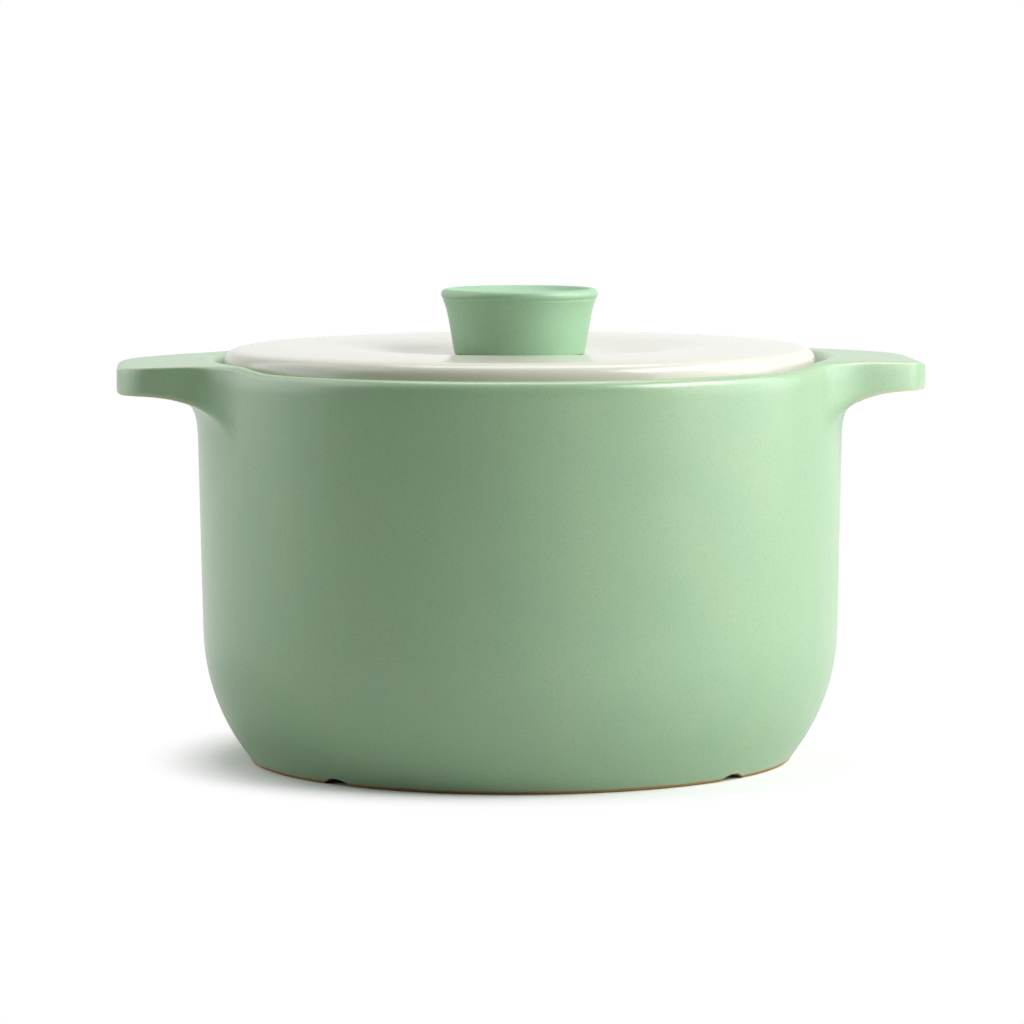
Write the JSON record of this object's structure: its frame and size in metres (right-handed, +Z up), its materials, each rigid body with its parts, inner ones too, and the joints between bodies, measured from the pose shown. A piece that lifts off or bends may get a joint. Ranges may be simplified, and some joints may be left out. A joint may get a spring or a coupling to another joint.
{
  "type": "covered stoneware cooking pot",
  "caption": "Round glazed stoneware cooking pot with lug handles at the rim, a drop-in glazed lid that lifts and turns, and a screw-fixed knob, for simmering and serving food.",
  "frame": {"origin": "middle of the foot ring, on the surface that the pot stands on", "axes": "+Z up along the pot's turning axis, +X through the middle of one lug, -Y to the front"},
  "size_m": [0.2684, 0.2154, 0.1568],
  "materials": {
    "mint_glaze": "satin mint green glaze over stoneware, bare clay on the foot ring",
    "cream_glaze": "glossy cream white glaze",
    "knob_glaze": "satin mint green glaze",
    "silicone": "moulded food-grade silicone",
    "brass": "turned",
    "stainless": "cold-headed stainless steel"
  },
  "bodies": {
    "pot": {"pot_body": "mint_glaze"},
    "lid_fixing": {"knob_screw": "stainless", "steel_washer": "stainless", "seal_washer": "silicone"},
    "lid": {"lid_plate": "cream_glaze", "lid_knob": "knob_glaze", "knob_gasket": "silicone", "knob_insert": "brass"}
  },
  "joints": [
    {"name": "lid_lift", "type": "slide", "parent": "pot", "child": "lid_fixing", "axis": [0, 0, 1], "range_m": [0, 0.15]},
    {"name": "lid_turn", "type": "hinge", "parent": "lid_fixing", "child": "lid", "pos_m": [0, 0, 0.1286], "axis": [0, 0, 1], "continuous": true}
  ]
}
